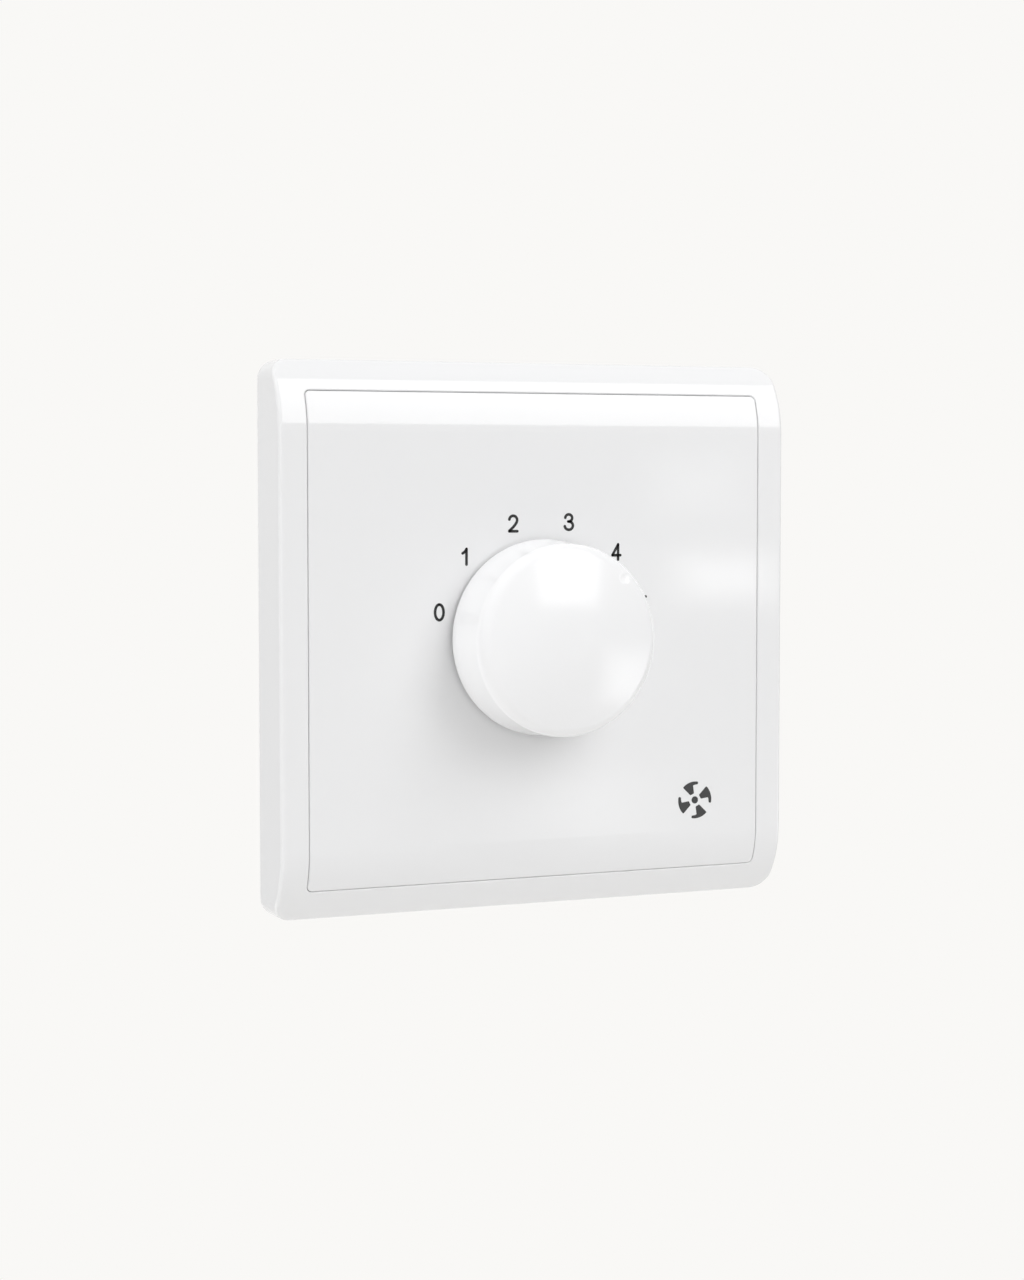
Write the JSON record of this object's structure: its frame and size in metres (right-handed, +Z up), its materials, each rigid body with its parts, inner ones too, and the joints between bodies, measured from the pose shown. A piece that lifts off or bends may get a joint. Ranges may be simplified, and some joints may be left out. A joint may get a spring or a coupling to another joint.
{
  "type": "fan speed control switch",
  "caption": "Square wall plate with a flush front panel rolled back at top and bottom and a domed rotary knob for stepped fan speed, with a boxed switch and wire terminals behind.",
  "frame": {"origin": "on the wall plane, on the knob's axis, midway between the two fixing screws", "axes": "+X to the right and +Z up as seen facing the plate, +Y into the wall along the knob's axis"},
  "size_m": [0.086, 0.0517, 0.086],
  "materials": {
    "front_plastic": "glossy white",
    "knob_plastic": "satin white",
    "plate_plastic": "matt off-white",
    "housing_plastic": "matt dark grey",
    "switch_plastic": "moulded brown-black",
    "zinc_casting": "die-cast, as made",
    "steel": "zinc-plated",
    "brass": "machined",
    "board": "phenolic paper board",
    "capacitor_case": "moulded case",
    "resistor_body": "lacquered body"
  },
  "bodies": {
    "base": {"surround_frame": "front_plastic", "face_panel": "front_plastic", "mounting_plate": "plate_plastic", "rear_housing": "housing_plastic", "switch_base": "switch_plastic", "bush_plate": "zinc_casting", "housing_screws": "steel", "terminal_screws": "steel", "lock_washer": "steel", "bush_nut": "steel", "switch_rivets": "steel", "index_spring": "steel", "terminal_pillar_line": "brass", "terminal_pillar_load": "brass", "fixed_contacts": "brass", "common_contact": "brass", "circuit_board": "board", "capacitor_upper": "capacitor_case", "capacitor_lower": "capacitor_case", "resistors": "resistor_body"},
    "dial": {"knob": "knob_plastic", "knob_clip": "steel", "spindle": "steel", "circlip": "steel", "rotor": "switch_plastic", "wiper": "brass"}
  },
  "joints": [
    {"name": "knob_turn", "type": "hinge", "parent": "base", "child": "dial", "pos_m": [0, 0, 0], "axis": [0, 1, 0], "range_deg": [-120, 30], "deforming": ["index_spring"]}
  ]
}
